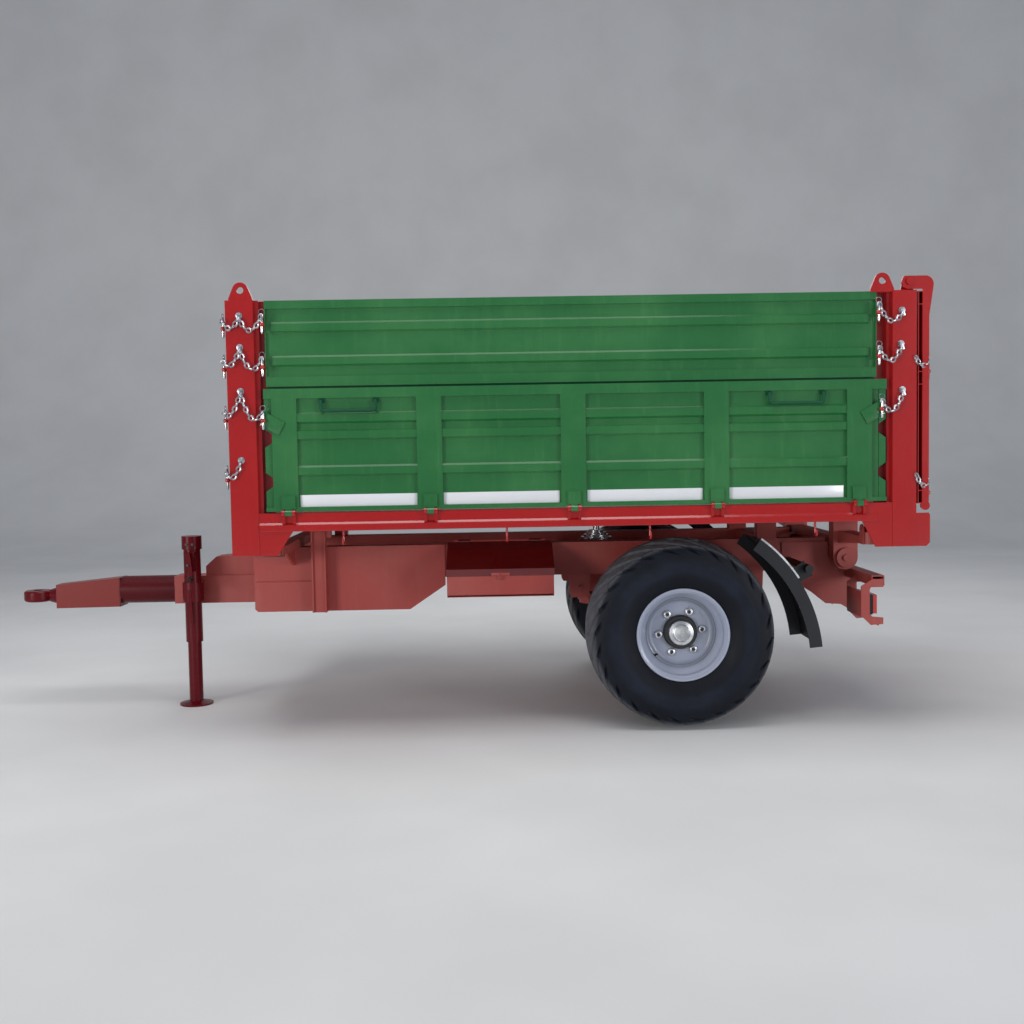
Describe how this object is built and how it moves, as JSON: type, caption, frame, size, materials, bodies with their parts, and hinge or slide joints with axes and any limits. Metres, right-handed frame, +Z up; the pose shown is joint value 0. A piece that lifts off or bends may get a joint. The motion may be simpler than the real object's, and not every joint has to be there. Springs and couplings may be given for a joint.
{
  "type": "three-way tipping trailer",
  "caption": "Single-axle farm trailer whose box tips to the rear or to either side, with drop-side boards, a top-hung tailgate, a telescopic ram, a towing eye and a screw jack.",
  "frame": {"origin": "on the ground under the middle of the whole trailer, drawbar included", "axes": "+X to the rear, away from the towing eye; +Y to the right-hand side of a driver facing forward; +Z up"},
  "size_m": [4.4785, 2.06, 2.0579],
  "materials": {
    "tyre": "moulded black rubber",
    "rim_silver": "silver enamel, satin",
    "hub_black": "black enamel",
    "guard_black": "moulded black plastic, satin",
    "lamp_red": "red lens, clear gloss",
    "board_green": "green enamel, gloss",
    "body_red": "red enamel, gloss",
    "maroon": "dark red enamel, gloss",
    "bright_steel": "ground steel",
    "chassis_red": "red enamel, dusty"
  },
  "bodies": {
    "chassis": {"axle_beam": "chassis_red", "chassis_rail_left": "chassis_red", "chassis_rail_right": "chassis_red", "cross_member_drawbar": "chassis_red", "cross_member_front": "chassis_red", "cross_member_rear": "chassis_red", "drawbar_beam": "chassis_red", "drawbar_nose": "maroon", "front_bolster": "chassis_red", "jack_housing": "maroon", "lamp_bar": "chassis_red", "lamp_carrier_left": "chassis_red", "lamp_carrier_right": "chassis_red", "leaf_spring_left": "chassis_red", "leaf_spring_right": "chassis_red", "mudguard_left": "guard_black", "mudguard_right": "guard_black", "ram_cradle": "chassis_red", "rear_cross_tube": "chassis_red", "rear_lamp_left": "lamp_red", "rear_lamp_right": "lamp_red", "toolbox": "chassis_red", "towing_eye": "maroon"},
    "wheel_left": {"tyre_left": "tyre", "rim_left": "rim_silver", "hub_left": "hub_black"},
    "wheel_right": {"tyre_right": "tyre", "rim_right": "rim_silver", "hub_right": "hub_black"},
    "jack_leg": {"jack_leg": "maroon"},
    "toolbox_lid": {"toolbox_lid": "chassis_red"},
    "rear_cradle": {"rear_cradle": "chassis_red"},
    "right_pivot_balls": {"pivot_ball_front": "bright_steel", "pivot_ball_rear": "bright_steel"},
    "box": {"floor_frame": "body_red", "floor_sheet": "body_red", "post_front_left": "body_red", "post_front_right": "body_red", "post_rear_left": "body_red", "post_rear_right": "body_red", "upper_board_left": "board_green", "upper_board_right": "board_green", "front_board": "board_green"},
    "side_board_left": {"side_board_left": "board_green"},
    "side_board_right": {"side_board_right": "board_green"},
    "tailgate": {"tailgate": "body_red"},
    "ram_barrel": {"ram_barrel": "chassis_red"},
    "ram_stage_1": {"ram_stage_1": "bright_steel"},
    "ram_stage_2": {"ram_stage_2": "bright_steel"},
    "ram_stage_3": {"ram_stage_3": "bright_steel"},
    "ram_stage_4": {"ram_stage_4": "bright_steel"}
  },
  "joints": [
    {"name": "wheel_left_spin", "type": "hinge", "parent": "chassis", "child": "wheel_left", "pos_m": [1.123, -0.75, 0.4375], "axis": [0, 1, 0], "continuous": true},
    {"name": "wheel_right_spin", "type": "hinge", "parent": "chassis", "child": "wheel_right", "pos_m": [1.123, 0.75, 0.4375], "axis": [0, 1, 0], "continuous": true},
    {"name": "jack_slide", "type": "slide", "parent": "chassis", "child": "jack_leg", "axis": [0, 0, 1], "range_m": [0, 0.27]},
    {"name": "toolbox_lid_hinge", "type": "hinge", "parent": "chassis", "child": "toolbox_lid", "pos_m": [0.2895, -0.4, 0.846], "axis": [-1, 0, 0], "range_deg": [0, 45]},
    {"name": "rear_tip", "type": "hinge", "parent": "chassis", "child": "rear_cradle", "pos_m": [1.993, 0, 0.74], "axis": [0, 1, 0], "range_deg": [0, 50]},
    {"name": "left_tip", "type": "hinge", "parent": "rear_cradle", "child": "right_pivot_balls", "pos_m": [1.993, -0.88, 0.905], "axis": [-1, 0, 0], "range_deg": [-45, 0]},
    {"name": "right_tip", "type": "hinge", "parent": "right_pivot_balls", "child": "box", "pos_m": [1.993, 0.88, 0.905], "axis": [1, 0, 0], "range_deg": [-45, 0]},
    {"name": "side_board_left_hinge", "type": "hinge", "parent": "box", "child": "side_board_left", "pos_m": [0.6395, -1.016, 1.035], "axis": [-1, 0, 0], "range_deg": [-180, 0]},
    {"name": "side_board_right_hinge", "type": "hinge", "parent": "box", "child": "side_board_right", "pos_m": [0.6395, 1.016, 1.035], "axis": [1, 0, 0], "range_deg": [-180, 0]},
    {"name": "tailgate_hinge", "type": "hinge", "parent": "box", "child": "tailgate", "pos_m": [2.131, 0, 2.019], "axis": [0, -1, 0], "range_deg": [0, 95]},
    {"name": "ram_tilt", "type": "hinge", "parent": "chassis", "child": "ram_barrel", "pos_m": [0.807, 0, 0.52], "axis": [0, 1, 0], "range_deg": [0, 24.72]},
    {"name": "ram_extend_1", "type": "slide", "parent": "ram_barrel", "child": "ram_stage_1", "axis": [0, 0, 1], "range_m": [0, 0.2468]},
    {"name": "ram_extend_2", "type": "slide", "parent": "ram_stage_1", "child": "ram_stage_2", "axis": [0, 0, 1], "range_m": [0, 0.2468]},
    {"name": "ram_extend_3", "type": "slide", "parent": "ram_stage_2", "child": "ram_stage_3", "axis": [0, 0, 1], "range_m": [0, 0.2468]},
    {"name": "ram_extend_4", "type": "slide", "parent": "ram_stage_3", "child": "ram_stage_4", "axis": [0, 0, 1], "range_m": [0, 0.2468]}
  ],
  "couplings": [
    {"joint": "ram_tilt", "follows": "rear_tip", "ratio": 0.4865},
    {"joint": "ram_extend_1", "follows": "rear_tip", "m_per_rad": 0.2805},
    {"joint": "ram_extend_2", "follows": "rear_tip", "m_per_rad": 0.2805},
    {"joint": "ram_extend_3", "follows": "rear_tip", "m_per_rad": 0.2805},
    {"joint": "ram_extend_4", "follows": "rear_tip", "m_per_rad": 0.2805}
  ]
}
